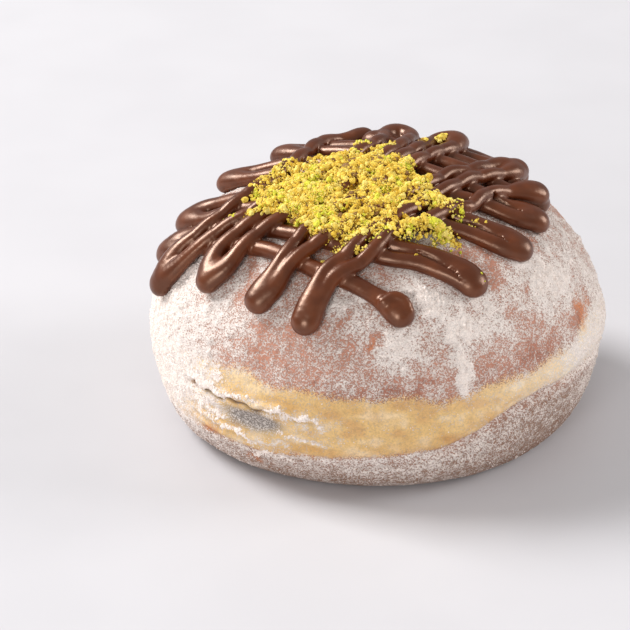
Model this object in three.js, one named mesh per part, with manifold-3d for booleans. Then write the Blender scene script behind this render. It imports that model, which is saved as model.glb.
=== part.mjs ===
// A sugared, filled round doughnut with a crossed chocolate drizzle and a heap of
// chopped pistachio. Millimetres, +Z up, the eating side facing -Y.
import * as THREE from "three";
import Module from "manifold-3d";

const wasm = await Module();
wasm.setup();

// Dough: a flat foot, a rounded side and a high crown that leans up toward +X.
const DOUGH_RADIUS = 50;
const CROWN_HEIGHT = 54.8;
const WIDEST_HEIGHT = 18.6;
const FOOT_RADIUS = 40;
const UPPER_POWER = 2.26;
const LOWER_POWER = 1.92;
const CROWN_TILT = 0.03;
const RISE = CROWN_HEIGHT - WIDEST_HEIGHT;
const LARGEST_SHARE = 0.99;
const DOUGH_SIDES = 60;

// Low swells round the side: how many in a turn, how they slant and where they start.
const LUMP_HEIGHT = 0.35;
const LUMP_WAVES = [
  { count: 3, slant: 1 / 7, start: 0 },
  { count: 5, slant: -1 / 5, start: 1 },
];
const LUMPS_FROM = 3;
const LUMPS_TO = 34;
const LUMPS_FADE = 3;

// Profile rows as degrees round each superellipse, closer together near the waist.
const LOWER_ROWS = [90, 76, 62, 50, 41, 33, 26, 20, 14, 7];
const UPPER_ROWS = [0, 1.2, 2.6, 5, 8, 12, 17, 23, 30, 38, 47, 57, 68, 80];

// The pale waist overhangs the fried underside along a crease on the right.
const CREASE_DEPTH = 1.1;
const CREASE_HALF_WIDTH = 1.5;
const CREASE_START = 12;
const CREASE_END = 105;
const CREASE_FADE = 12;
const CREASE_LOW = 11;
const CREASE_HIGH = 18.8;
const CREASE_LEVEL_FROM = 45;
const OVERHANG = 0.7;
const OVERHANG_RISE = 4.5;
const OVERHANG_HALF_HEIGHT = 3;

// The filling slit at the left front: a thin crack above a shallow pocket.
const SLIT_DEPTH = 1.5;
const SLIT_HALF_WIDTH = 1;
const SLIT_MIDDLE = -33;
const SLIT_HALF_SPAN = 19;
const SLIT_FADE = 3;
const SLIT_HEIGHT = 19.8;
const POCKET_DEPTH = 1.4;
const POCKET_MIDDLE = -30;
const POCKET_HALF_SPAN = 9;
const POCKET_HEIGHT = 17;
const POCKET_HALF_HEIGHT = 2.4;

// Drizzle strands: an oval section that swells at each looped end.
const LOWER_HALF_WIDTH = 2;
const UPPER_HALF_WIDTH = 1.75;
const STRAND_FLATNESS = 0.9;
const STRAND_LIFT = 1;
const LOOP_HALF_WIDTH = 3.1;
const LOOP_HALF_HEIGHT = 2.4;
const LOOP_LENGTH = 4.2;
const LOOP_LIFT = 0.7;
const STRAND_CORNERS = [65, 115, 170, 230, 310, 370];
const CAP_SQUEEZE = 0.66;
const CAP_REACH = 0.75;
const PATH_SPACING = 0.5;
const LOWER_STEP = 7.5;
const UPPER_STEP = 4.4;
const CROSSING_LIFT = 1.9;
const CROSSING_REACH = 6;

// The lower layer in plan, [x, y], piped first in one line from the front right
// to the back. It turns back on itself at each of these points.
const LOWER_TURNS = [
  [4.8, -42.2], [-44, -4], [19.5, -34.5], [-40, 1.5], [29.5, -22.5], [-32, 14],
  [33.5, -11], [-20.5, 24.5], [34, -2], [0, 21.5], [30, 9.5], [1.5, 32],
];
// Where the strand runs between one turn and the next.
const LOWER_RUNS = [
  [[-0.5, -39.5], [-5, -37], [-13, -32.5], [-22.5, -25], [-30.5, -19], [-38, -12.5]],
  [[-40.5, -5], [-34.5, -10.5], [-25.5, -17], [-16.5, -23], [-7, -28.5], [2, -32], [9, -32.8], [15, -34]],
  [[17.5, -32.8], [13, -31], [7.5, -30.2], [1, -28], [-8, -22.5], [-18, -15.5], [-29, -7], [-36, -4]],
  [[-36.5, 2], [-32.5, 0], [-25, -5], [-15, -13], [-4, -19.5], [6, -22.5], [15, -22.5], [26, -23.5]],
  [[27, -21], [22, -20], [16, -18.5], [6, -13], [-4.5, -7], [-12.5, -0.5], [-18.5, 3.5], [-26, 7.5]],
  [[-26, 12.5], [-19, 10.5], [-10, 5], [-2, -1.5], [5, -6.5], [13.5, -11], [22, -12], [29, -13]],
  [[31, -9.8], [27, -9.8], [23, -8], [14.5, -2.5], [9, 1.5], [1, 7.5], [-5.5, 12], [-14.5, 18]],
  [[-14, 22], [-4.5, 18], [6.5, 11], [17, 4.5], [22.5, 1.5], [28, -2.5]],
  [[31, 1], [22.5, 6.5], [12, 12.5], [5, 17]],
  [[8, 20.5], [18, 15]],
  [[20, 18.5], [13, 25], [7, 29.5]],
];

// The upper layer crosses it in the same way, from the back to the right.
const UPPER_TURNS = [
  [-3, 26.5], [-44.2, -13.4], [4.8, 24.8], [-34, -25], [17, 17],
  [-23.5, -35], [29.5, 7], [-14, -41.5], [33, -3],
];
const UPPER_RUNS = [
  [[-8, 24.5], [-12.5, 18.5], [-16, 9.5], [-20, 2], [-29, -7], [-36, -10.5], [-41, -11.5]],
  [[-41, -15], [-36, -15.5], [-31.5, -14.5], [-26, -13], [-17, -8], [-7, 2], [-3, 9], [1.5, 17], [2.2, 21.5]],
  [[7.5, 21], [6.8, 16], [2.5, 5.5], [-8, -7], [-14, -12], [-22, -15], [-28, -17.8], [-32.5, -21]],
  [[-30, -25], [-25.5, -22], [-18.5, -18], [-9.5, -12.5], [1, -2.5], [6, 4.5], [10, 11], [13, 16]],
  [[16.5, 12.5], [12.5, 7], [8, 0.5], [1, -10.5], [-5, -17], [-13, -23], [-17.5, -28.5], [-21, -32.5]],
  [
    [-21, -34.5], [-17, -31.5], [-11.5, -28], [-7.5, -25.5], [0, -20.5], [6.5, -15], [12, -9],
    [15.5, -4], [19, -1.5], [22.5, 2.5], [26.5, 6],
  ],
  [
    [28.5, 4], [25.5, 0.5], [20.5, -4], [16, -9.5], [10, -17], [5, -22], [-2, -27.5],
    [-6, -32], [-10, -35], [-12.5, -39],
  ],
  [
    [-11, -39], [-8, -36], [-3.5, -34], [-0.5, -31.5], [3, -27.5], [9, -24.5], [15.5, -18],
    [19, -16.5], [22.5, -11], [26, -7.5], [29.5, -5],
  ],
];

// Pistachio heap: a bumpy mound laid over the drizzle, with coarse crumbs on it.
// Its ragged outline in plan, one place after another round its centre.
const HEAP_CENTRE = [-8, -12];
const HEAP_OUTLINE = [
  [-25.5, -14], [-21, -18.5], [-16.5, -23], [-13, -28.5], [-7, -31], [0, -30.5], [4, -29],
  [4.5, -23.5], [8, -19.5], [11.5, -14], [10.5, -6], [7, 0], [2, 3.5], [-3, 6.5], [-9, 5],
  [-15, 6.5], [-21, 4], [-25.5, 1], [-27.5, -4], [-25, -9.5],
];
const HEAP_LIFT = 5.1;
const HEAP_RIM_LIFT = 4;
const HEAP_RIM_START = 0.7;
const HEAP_BUMP = 0.6;
const HEAP_SMOOTH_SHARE = 0.1;
const HEAP_ROUGH_SHARE = 0.5;
const HEAP_BASE_LIFT = -1;
const HEAP_BASE_SHARE = 0.5;
const HEAP_SIDES = 42;
const HEAP_RINGS = 7;
const HEAP_CRUMBS = 46;
const HEAP_CRUMB_SPREAD = 0.95;
const CRUMB_SMALL = 1.1;
const CRUMB_LARGE = 1.7;
const CRUMB_SINK = 0.5;
const CLEARANCE = 0.4;

// Steps of this turn, in radians, spread crumbs evenly over a disc.
const GOLDEN_TURN = 2.4;
const FULL_TURN = 2 * Math.PI;

// Seeds of the random numbers, kept apart from each other.
const SEED_STEP = 7919;
const SEED_START = 17;
const CRUMB_SIZE_SEED = 900;
const STRAY_SEED = 500;

// Surfaces may move by this much where the joined solids are thinned out.
const DOUGH_SIMPLIFY = 0.12;
const HEAP_SIMPLIFY = 0.06;

// Crumbs that fell beside the heap, as [x, y, lift above the dough, radius].
const STRAY_CRUMBS = [
  [10.5, 12, 3.8, 1.1],
  [14.5, 15, 3.6, 1.4],
  [14.5, -18.5, 4.4, 1.6],
  [15.5, -16, 3.8, 1.2],
  [10, -26.8, 0.7, 1.5],
  [12.5, -26, 0.8, 1.7],
  [15, -26.5, 0.7, 1.4],
  [17.3, -25.8, 0.6, 1.2],
  [-31, -14, 3.4, 1],
];

// A repeatable random number from 0 to 1 for a whole-number seed.
function chance(seed) {
  return THREE.MathUtils.seededRandom(seed * SEED_STEP + SEED_START);
}

function bell(distance, width) {
  return Math.exp(-((distance / width) ** 2));
}

// 0 outside the span, 1 inside it, with a soft change over `soft` at each end.
function window01(value, low, high, soft) {
  const rise = THREE.MathUtils.smoothstep(value, low - soft, low + soft);
  return rise * (1 - THREE.MathUtils.smoothstep(value, high - soft, high + soft));
}

// Outward relief of the dough's side at an azimuth in degrees from the front.
function doughRelief(azimuth, height) {
  const turn = THREE.MathUtils.degToRad(azimuth);
  const climb = THREE.MathUtils.smoothstep(azimuth, CREASE_START, CREASE_LEVEL_FROM);
  const creaseHeight = THREE.MathUtils.lerp(CREASE_LOW, CREASE_HIGH, climb);
  const creased = window01(azimuth, CREASE_START, CREASE_END, CREASE_FADE);
  const crease = -CREASE_DEPTH * bell(height - creaseHeight, CREASE_HALF_WIDTH);
  const lip = OVERHANG * bell(height - creaseHeight - OVERHANG_RISE, OVERHANG_HALF_HEIGHT);
  const slitStart = SLIT_MIDDLE - SLIT_HALF_SPAN;
  const slitEnds = window01(azimuth, slitStart, SLIT_MIDDLE + SLIT_HALF_SPAN, SLIT_FADE);
  const slit = -SLIT_DEPTH * slitEnds * bell(height - SLIT_HEIGHT, SLIT_HALF_WIDTH);
  const pocket = -POCKET_DEPTH
    * bell(azimuth - POCKET_MIDDLE, POCKET_HALF_SPAN)
    * bell(height - POCKET_HEIGHT, POCKET_HALF_HEIGHT);
  const swells = LUMP_WAVES.map(({ count, slant, start }) => Math.sin(count * turn + slant * height + start));
  const lumps = LUMP_HEIGHT * (swells[0] + swells[1]);
  const onSide = window01(height, LUMPS_FROM, LUMPS_TO, LUMPS_FADE);
  return creased * (crease + lip) + slit + pocket + lumps * onSide;
}

// Profile of the dough from the foot's edge to the crown, as [radius, height].
function doughProfile() {
  const profile = [];
  for (const degrees of LOWER_ROWS) {
    const angle = THREE.MathUtils.degToRad(degrees);
    profile.push([
      FOOT_RADIUS + (DOUGH_RADIUS - FOOT_RADIUS) * Math.cos(angle) ** (2 / LOWER_POWER),
      WIDEST_HEIGHT * (1 - Math.sin(angle) ** (2 / LOWER_POWER)),
    ]);
  }
  for (const degrees of UPPER_ROWS) {
    const angle = THREE.MathUtils.degToRad(degrees);
    profile.push([
      DOUGH_RADIUS * Math.cos(angle) ** (2 / UPPER_POWER),
      WIDEST_HEIGHT + RISE * Math.sin(angle) ** (2 / UPPER_POWER),
    ]);
  }
  return profile;
}

// Height of the dough's crown above a plan position, which may lie a little outside it.
function domeHeight(x, y) {
  const share = Math.min(Math.hypot(x, y) / DOUGH_RADIUS, LARGEST_SHARE);
  const rise = (1 - share ** UPPER_POWER) ** (1 / UPPER_POWER);
  const level = WIDEST_HEIGHT + RISE * rise;
  return level * (1 + CROWN_TILT * x / CROWN_HEIGHT);
}

function domeNormal(x, y) {
  const step = 0.25;
  return new THREE.Vector3(
    domeHeight(x - step, y) - domeHeight(x + step, y),
    domeHeight(x, y - step) - domeHeight(x, y + step),
    2 * step,
  ).normalize();
}

function domePoint(x, y, lift) {
  return domeNormal(x, y).multiplyScalar(lift).add(new THREE.Vector3(x, y, domeHeight(x, y)));
}

// A closed solid from a start point, rings of points and an end point. Each ring
// runs counterclockwise about the direction from the start to the end.
function skin(start, rings, end) {
  const sides = rings[0].length;
  const points = [start, ...rings.flat(), end];
  const last = points.length - 1;
  const at = (row, side) => 1 + row * sides + (side % sides);
  const triangles = [];
  for (let side = 0; side < sides; side += 1) {
    triangles.push(0, at(0, side + 1), at(0, side));
    for (let row = 0; row + 1 < rings.length; row += 1) {
      triangles.push(at(row, side), at(row, side + 1), at(row + 1, side));
      triangles.push(at(row, side + 1), at(row + 1, side + 1), at(row + 1, side));
    }
    triangles.push(last, at(rings.length - 1, side), at(rings.length - 1, side + 1));
  }
  return new wasm.Manifold(new wasm.Mesh({
    numProp: 3,
    vertProperties: new Float32Array(points.flatMap((point) => point.toArray())),
    triVerts: new Uint32Array(triangles),
  }));
}

function doughSolid(grow) {
  const tilt = (point) => {
    point.z += CROWN_TILT * point.x * point.z / CROWN_HEIGHT;
    return point;
  };
  const rings = doughProfile().map(([radius, height], row) => {
    const slope = new THREE.Vector2(radius / DOUGH_RADIUS, (height - WIDEST_HEIGHT) / RISE).normalize();
    return Array.from({ length: DOUGH_SIDES }, (_, side) => {
      const turn = FULL_TURN * side / DOUGH_SIDES;
      const azimuth = THREE.MathUtils.radToDeg(Math.atan2(Math.cos(turn), -Math.sin(turn)));
      const relief = row === 0 ? grow : doughRelief(azimuth, height) + grow;
      const reach = radius + relief * slope.x;
      const level = row === 0 ? height : height + relief * slope.y;
      return tilt(new THREE.Vector3(reach * Math.cos(turn), reach * Math.sin(turn), level));
    });
  });
  const foot = new THREE.Vector3(0, 0, 0);
  const crown = new THREE.Vector3(0, 0, CROWN_HEIGHT + grow);
  return skin(foot, rings, crown);
}

// Points in plan along one arm, from a turn to the next, at an even spacing.
function planPath(run, index, turns) {
  const stops = [turns[index], ...run, turns[index + 1]];
  const corners = stops.map(([x, y]) => new THREE.Vector3(x, y, 0));
  const curve = new THREE.CatmullRomCurve3(corners, false, "centripetal");
  return curve.getSpacedPoints(Math.ceil(curve.getLength() / PATH_SPACING));
}

const lowerPaths = LOWER_RUNS.map((run, index) => planPath(run, index, LOWER_TURNS));
const upperPaths = UPPER_RUNS.map((run, index) => planPath(run, index, UPPER_TURNS));

// How far an upper strand is held up by the lower strands beneath it.
function crossingLift(point) {
  const nearest = Math.min(...lowerPaths.flat().map((below) => below.distanceTo(point)));
  return CROSSING_LIFT * bell(nearest, CROSSING_REACH);
}

// One arm of the drizzle, swept along the dome and rounded at both ends.
function strandSolid(path, halfWidth, step, liftAt, grow) {
  const draped = path.map((point) => {
    const end = Math.min(point.distanceTo(path[0]), point.distanceTo(path.at(-1)));
    return domePoint(point.x, point.y, liftAt(point) + LOOP_LIFT * bell(end, LOOP_LENGTH));
  });
  const curve = new THREE.CatmullRomCurve3(draped, false, "centripetal");
  const length = curve.getLength();
  const spans = Math.round(length / step);
  const section = (share, side, up, squeeze, shift) => {
    const end = Math.min(share, 1 - share) * length;
    const swell = bell(end, LOOP_LENGTH);
    const width = THREE.MathUtils.lerp(halfWidth, LOOP_HALF_WIDTH, swell) + grow;
    const height = THREE.MathUtils.lerp(halfWidth * STRAND_FLATNESS, LOOP_HALF_HEIGHT, swell) + grow;
    const centre = curve.getPointAt(share).addScaledVector(shift, width);
    return STRAND_CORNERS.map((corner) => {
      const turn = THREE.MathUtils.degToRad(corner);
      return centre.clone()
        .addScaledVector(side, Math.cos(turn) * width * squeeze)
        .addScaledVector(up, Math.sin(turn) * height * squeeze);
    });
  };
  const frame = (share) => {
    const along = curve.getTangentAt(share);
    const spot = curve.getPointAt(share);
    const side = domeNormal(spot.x, spot.y).cross(along).normalize();
    return { along, side, up: along.clone().cross(side) };
  };
  const rings = [];
  const cap = (share, sense, squeeze, reach) => {
    const { along, side, up } = frame(share);
    rings.push(section(share, side, up, squeeze, along.multiplyScalar(sense * reach)));
  };
  cap(0, -1, CAP_SQUEEZE, CAP_REACH);
  for (let index = 0; index <= spans; index += 1) cap(index / spans, 0, 1, 0);
  cap(1, 1, CAP_SQUEEZE, CAP_REACH);
  const tip = (share, sense) => {
    const reach = sense * (LOOP_HALF_WIDTH + grow);
    return curve.getPointAt(share).addScaledVector(curve.getTangentAt(share), reach);
  };
  return skin(tip(0, -1), rings, tip(1, 1));
}

// The dough joined with both layers of drizzle, all grown outward by `grow`.
function doughWithDrizzle(grow) {
  const lower = lowerPaths.map((path) => (
    strandSolid(path, LOWER_HALF_WIDTH, LOWER_STEP, () => STRAND_LIFT, grow)
  ));
  const upperLift = (point) => STRAND_LIFT + crossingLift(point);
  const upper = upperPaths.map((path) => (
    strandSolid(path, UPPER_HALF_WIDTH, UPPER_STEP, upperLift, grow)
  ));
  return wasm.Manifold.union([doughSolid(grow), ...lower, ...upper]);
}

// One rough crumb, turned at random.
function crumbSolid(centre, radius, seed) {
  const shape = new THREE.IcosahedronGeometry(radius, 0);
  shape.rotateX(FULL_TURN * chance(seed)).rotateZ(FULL_TURN * chance(seed + 0.5));
  shape.translate(centre.x, centre.y, centre.z);
  const corners = [];
  const triangles = [];
  const nearby = radius / 50;
  const position = shape.getAttribute("position");
  for (let index = 0; index < position.count; index += 1) {
    const corner = new THREE.Vector3().fromBufferAttribute(position, index);
    let known = corners.findIndex((other) => other.distanceTo(corner) < nearby);
    if (known < 0) known = corners.push(corner) - 1;
    triangles.push(known);
  }
  return new wasm.Manifold(new wasm.Mesh({
    numProp: 3,
    vertProperties: new Float32Array(corners.flatMap((corner) => corner.toArray())),
    triVerts: new Uint32Array(triangles),
  }));
}

const heapCorners = HEAP_OUTLINE.map(([x, y]) => (
  new THREE.Vector2(x - HEAP_CENTRE[0], y - HEAP_CENTRE[1])
)).sort((one, other) => one.angle() - other.angle());

// How far the heap reaches from its centre toward a turn in radians.
function heapEdge(turn) {
  const next = Math.max(0, heapCorners.findIndex((corner) => corner.angle() > turn));
  const corner = heapCorners[next];
  const last = heapCorners.at(next - 1);
  const gap = THREE.MathUtils.euclideanModulo(corner.angle() - last.angle(), FULL_TURN);
  const share = THREE.MathUtils.euclideanModulo(turn - last.angle(), FULL_TURN) / gap;
  return THREE.MathUtils.lerp(last.length(), corner.length(), share);
}

// Lift of the heap's surface above the dome at a share of the way to its edge.
function heapLift(share, seed) {
  const rim = THREE.MathUtils.smoothstep(share, HEAP_RIM_START, 1);
  const rough = THREE.MathUtils.smoothstep(share, HEAP_SMOOTH_SHARE, HEAP_ROUGH_SHARE);
  const bump = HEAP_BUMP * rough * (2 * chance(seed) - 1);
  return THREE.MathUtils.lerp(HEAP_LIFT, HEAP_RIM_LIFT, rim) + bump;
}

function heapPoint(turn, share, lift) {
  const reach = share * heapEdge(turn);
  return domePoint(
    HEAP_CENTRE[0] + reach * Math.cos(turn),
    HEAP_CENTRE[1] + reach * Math.sin(turn),
    lift,
  );
}

// The heap's blank reaches into the dough, whose grown copy then cuts it free.
function heapSolid() {
  const ring = (share, liftOf) => Array.from({ length: HEAP_SIDES }, (_, side) => (
    heapPoint(FULL_TURN * side / HEAP_SIDES, share, liftOf(side))
  ));
  const rings = [ring(HEAP_BASE_SHARE, () => HEAP_BASE_LIFT), ring(1, () => HEAP_BASE_LIFT)];
  for (let row = HEAP_RINGS; row > 0; row -= 1) {
    rings.push(ring(row / HEAP_RINGS, (side) => heapLift(row / HEAP_RINGS, row * HEAP_SIDES + side)));
  }
  const blank = skin(heapPoint(0, 0, HEAP_BASE_LIFT), rings, heapPoint(0, 0, HEAP_LIFT));
  const crumbs = Array.from({ length: HEAP_CRUMBS }, (_, index) => {
    const share = HEAP_CRUMB_SPREAD * Math.sqrt((index + 0.5) / HEAP_CRUMBS);
    const turn = index * GOLDEN_TURN;
    const radius = THREE.MathUtils.lerp(CRUMB_SMALL, CRUMB_LARGE, chance(index + CRUMB_SIZE_SEED));
    return crumbSolid(heapPoint(turn, share, heapLift(share, index) - CRUMB_SINK), radius, index);
  });
  return wasm.Manifold.union([blank, ...crumbs]);
}

// The largest closed body of a solid, without any chip cut off it.
function mainBody(solid) {
  return solid.decompose().sort((one, other) => other.volume() - one.volume())[0];
}

function meshOf(name, solid, material) {
  const { numProp, vertProperties, triVerts } = solid.getMesh();
  const corners = vertProperties.length / numProp;
  const position = new Float32Array(corners * 3);
  for (let index = 0; index < corners; index += 1) {
    position.set(vertProperties.subarray(index * numProp, index * numProp + 3), index * 3);
  }
  const geometry = new THREE.BufferGeometry();
  geometry.setAttribute("position", new THREE.BufferAttribute(position, 3));
  geometry.setIndex(new THREE.BufferAttribute(new Uint32Array(triVerts), 1));
  const mesh = new THREE.Mesh(geometry, material);
  mesh.name = name;
  return mesh;
}

const strays = STRAY_CRUMBS.map(([x, y, lift, radius], index) => (
  crumbSolid(domePoint(x, y, lift), radius, STRAY_SEED + index)
));
const dressed = wasm.Manifold.union([doughWithDrizzle(0), ...strays]);
const dough = mainBody(dressed.asOriginal().simplify(DOUGH_SIMPLIFY));
const cutter = doughWithDrizzle(CLEARANCE).asOriginal().simplify(DOUGH_SIMPLIFY);
const pistachio = mainBody(heapSolid().subtract(cutter).asOriginal().simplify(HEAP_SIMPLIFY));

const part = new THREE.Group();
part.add(meshOf("dough", dough, new THREE.MeshStandardMaterial({
  color: 0xc69e86,
  roughness: 0.85,
  metalness: 0,
})));
part.add(meshOf("pistachio", pistachio, new THREE.MeshStandardMaterial({
  color: 0xd8b94c,
  roughness: 0.9,
  metalness: 0,
})));

// Centre the part over its foot.
const middle = new THREE.Box3().setFromObject(part).getCenter(new THREE.Vector3());
part.position.set(-middle.x, -middle.y, 0);

export default part;
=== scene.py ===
import itertools
import math

import bpy
import numpy as np
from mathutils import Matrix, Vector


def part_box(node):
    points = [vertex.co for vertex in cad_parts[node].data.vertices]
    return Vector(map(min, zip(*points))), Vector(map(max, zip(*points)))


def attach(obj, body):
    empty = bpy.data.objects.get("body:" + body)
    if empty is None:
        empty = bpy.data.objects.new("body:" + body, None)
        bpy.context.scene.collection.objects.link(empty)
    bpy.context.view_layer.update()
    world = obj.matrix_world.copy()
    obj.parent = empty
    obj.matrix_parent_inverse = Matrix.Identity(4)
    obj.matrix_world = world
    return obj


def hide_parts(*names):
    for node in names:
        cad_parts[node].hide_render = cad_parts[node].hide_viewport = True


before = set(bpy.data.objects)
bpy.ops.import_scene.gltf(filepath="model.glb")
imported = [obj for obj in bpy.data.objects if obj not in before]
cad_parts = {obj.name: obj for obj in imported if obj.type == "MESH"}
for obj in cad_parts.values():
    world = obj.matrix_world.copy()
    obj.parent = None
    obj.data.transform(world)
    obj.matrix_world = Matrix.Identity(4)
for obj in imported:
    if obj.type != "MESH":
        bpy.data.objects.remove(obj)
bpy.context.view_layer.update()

import openvdb
from mathutils import Vector

MM = 0.001

# Dough, as in its solid: a flat foot, a rounded side and a crown that leans up toward +X.
DOUGH_RADIUS = 50
CROWN_HEIGHT = 54.8
WIDEST_HEIGHT = 18.6
RISE = CROWN_HEIGHT - WIDEST_HEIGHT
FOOT_RADIUS = 40
UPPER_POWER = 2.26
LOWER_POWER = 1.92
CROWN_TILT = 0.03
DOUGH_SIDES = 560
DOUGH_ROWS = 164
LUMP_HEIGHT = 0.35

# The parts are modelled about the dough's axis, and the frame centres the whole on its box.
SHIFT = np.array([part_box("dough")[0][0] / MM + DOUGH_RADIUS, 0, 0])

# The crease on the right, where the pale waist overhangs the underside.
CREASE_DEPTH = 1.3
CREASE_HALF_WIDTH = 0.9
CREASE_START = 12
CREASE_END = 105
CREASE_LOW = 11
CREASE_HIGH = 18.8
CREASE_LEVEL_FROM = 45
OVERHANG = 0.7
OVERHANG_RISE = 4.5
OVERHANG_HALF_HEIGHT = 3

# The filling slit at the left front, which narrows to a seam toward the front.
SLIT_DEPTH = 1.5
SLIT_HALF_WIDTH = 0.32
SLIT_LIP = 0.5
SLIT_MIDDLE = -33
SLIT_HALF_SPAN = 19
SLIT_HEIGHT = 19.8
SLIT_WANDER = 0.8
SLIT_NARROWS_FROM = -33
SLIT_NARROWS_TO = -24
# Places on the side, as (azimuth, height, half span, half height): a small hole near the
# slit's left end, the shallow pocket below the slit, and where grey painted shadow lies in the pocket.
HOLE = (-51, 19.4, 1.3, 0.7)
HOLE_DEPTH = 2.2
POCKET = (-31, 17, 9, 2.2)
POCKET_DEPTH = 1.3
POCKET_SHADOW_PLACE = (-31, 16.8, 9, 2.6)

# Height of the pale waist's edges at these azimuths, in degrees from the front.
WAIST_AZIMUTHS = [-180, -120, -60, -35, -20, 0, 20, 35, 50, 70, 120, 180]
WAIST_TOPS = [27, 28, 27, 27, 25.5, 24.5, 23.5, 24.5, 26, 29, 28, 27]
WAIST_BOTTOMS = [13, 12, 9, 9, 9.5, 10.5, 12.5, 18, 19.5, 18, 15, 13]

# Drizzle strands: an oval section that swells at each looped end.
LOWER_HALF_WIDTH = 1.85
UPPER_HALF_WIDTH = 1.6
STRAND_FLATNESS = 0.9
STRAND_LIFT = 1
LOOP_HALF_WIDTH = 3.1
LOOP_HALF_HEIGHT = 2.4
LOOP_LENGTH = 4.2
LOOP_LIFT = 0.7
CROSSING_LIFT = 1.9
CROSSING_REACH = 6
STRAND_SPACING = 0.7
STRAND_BLEND = 0.4
STRAND_SINK = 0.5
UPPER_SEED = 50

# The grid that the drizzle is worked out on: its step, its corners, and what counts as far.
VOXEL = 0.43
FIELD_LOW = (-54, -50, 24)
FIELD_HIGH = (42, 40, 64)
FAR = 3.0

# The lower layer in plan, as (x, y), is one line that turns back at each of these points.
LOWER_TURNS = [
    (4.8, -42.2), (-44, -4), (19.5, -34.5), (-40, 1.5), (29.5, -22.5), (-32, 14),
    (33.5, -11), (-20.5, 24.5), (34, -2), (0, 21.5), (30, 9.5), (1.5, 32),
]
# Where the strand runs between one turn and the next.
LOWER_RUNS = [
    [(-0.5, -39.5), (-5, -37), (-13, -32.5), (-22.5, -25), (-30.5, -19), (-38, -12.5)],
    [(-40.5, -5), (-34.5, -10.5), (-25.5, -17), (-16.5, -23), (-7, -28.5), (2, -32), (9, -32.8), (15, -34)],
    [(17.5, -32.8), (13, -31), (7.5, -30.2), (1, -28), (-8, -22.5), (-18, -15.5), (-29, -7), (-36, -4)],
    [(-36.5, 2), (-32.5, 0), (-25, -5), (-15, -13), (-4, -19.5), (6, -22.5), (15, -22.5), (26, -23.5)],
    [(27, -21), (22, -20), (16, -18.5), (6, -13), (-4.5, -7), (-12.5, -0.5), (-18.5, 3.5), (-26, 7.5)],
    [(-26, 12.5), (-19, 10.5), (-10, 5), (-2, -1.5), (5, -6.5), (13.5, -11), (22, -12), (29, -13)],
    [(31, -9.8), (27, -9.8), (23, -8), (14.5, -2.5), (9, 1.5), (1, 7.5), (-5.5, 12), (-14.5, 18)],
    [(-14, 22), (-4.5, 18), (6.5, 11), (17, 4.5), (22.5, 1.5), (28, -2.5)],
    [(31, 1), (22.5, 6.5), (12, 12.5), (5, 17)],
    [(8, 20.5), (18, 15)],
    [(20, 18.5), (13, 25), (7, 29.5)],
]
# The upper layer crosses it in the same way, from the back to the right.
UPPER_TURNS = [
    (-3, 26.5), (-44.2, -13.4), (4.8, 24.8), (-34, -25), (17, 17),
    (-23.5, -35), (29.5, 7), (-14, -41.5), (33, -3),
]
UPPER_RUNS = [
    [(-8, 24.5), (-12.5, 18.5), (-16, 9.5), (-20, 2), (-29, -7), (-36, -10.5), (-41, -11.5)],
    [
        (-41, -15), (-36, -15.5), (-31.5, -14.5), (-26, -13), (-17, -8), (-7, 2), (-3, 9),
        (1.5, 17), (2.2, 21.5),
    ],
    [(7.5, 21), (6.8, 16), (2.5, 5.5), (-8, -7), (-14, -12), (-22, -15), (-28, -17.8), (-32.5, -21)],
    [(-30, -25), (-25.5, -22), (-18.5, -18), (-9.5, -12.5), (1, -2.5), (6, 4.5), (10, 11), (13, 16)],
    [(16.5, 12.5), (12.5, 7), (8, 0.5), (1, -10.5), (-5, -17), (-13, -23), (-17.5, -28.5), (-21, -32.5)],
    [
        (-21, -34.5), (-17, -31.5), (-11.5, -28), (-7.5, -25.5), (0, -20.5), (6.5, -15), (12, -9),
        (15.5, -4), (19, -1.5), (22.5, 2.5), (26.5, 6),
    ],
    [
        (28.5, 4), (25.5, 0.5), (20.5, -4), (16, -9.5), (10, -17), (5, -22), (-2, -27.5),
        (-6, -32), (-10, -35), (-12.5, -39),
    ],
    [
        (-11, -39), (-8, -36), (-3.5, -34), (-0.5, -31.5), (3, -27.5), (9, -24.5), (15.5, -18),
        (19, -16.5), (22.5, -11), (26, -7.5), (29.5, -5),
    ],
]
# The small curl where the piping starts, on top of the first end.
CURL = [(1.6, -41), (3.6, -40.2), (5.6, -40.8), (6.3, -42)]
CURL_HALF_WIDTH = 1.3
CURL_LIFT = 2.9
# Furrows left between the two arms of a loop that ran together, and how much deeper each is.
FURROW_LINES = [
    (0, [(8, -31), (12, -32.4), (15, -33.9), (17.2, -35.6)]),
    (0.45, [(18, -20.8), (22, -21.8), (25, -23), (26.9, -24.3)]),
    (0.45, [(22, -9.7), (26.5, -11), (29.5, -12.1), (31, -13.1)]),
]
FURROW_HALF_WIDTH = 0.75
FURROW_LIFT = 1.4
FURROW_END_LIFT = 2.7
FURROW_CUT = 1.3

# Pistachio heap: its centre, and its ragged outline in plan, in turn round the centre.
HEAP_CENTRE = (-8, -12)
HEAP_OUTLINE = [
    (11.5, -14), (10.5, -6), (7, 0), (2, 3.5), (-3, 6.5), (-9, 5), (-15, 6.5), (-21, 4),
    (-25.5, 1), (-27.5, -4), (-25, -9.5), (-25.5, -14), (-21, -18.5), (-16.5, -23), (-13, -28.5),
    (-7, -31), (0, -30.5), (4, -29), (4.5, -23.5), (8, -19.5),
]
HEAP_LIFT = 2.1
HEAP_RIM_START = 0.6
HEAP_BASE_LIFT = -1
HEAP_SIDES = 150
HEAP_RINGS = 42
HEAP_CORE_SHARE = 0.9

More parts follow.
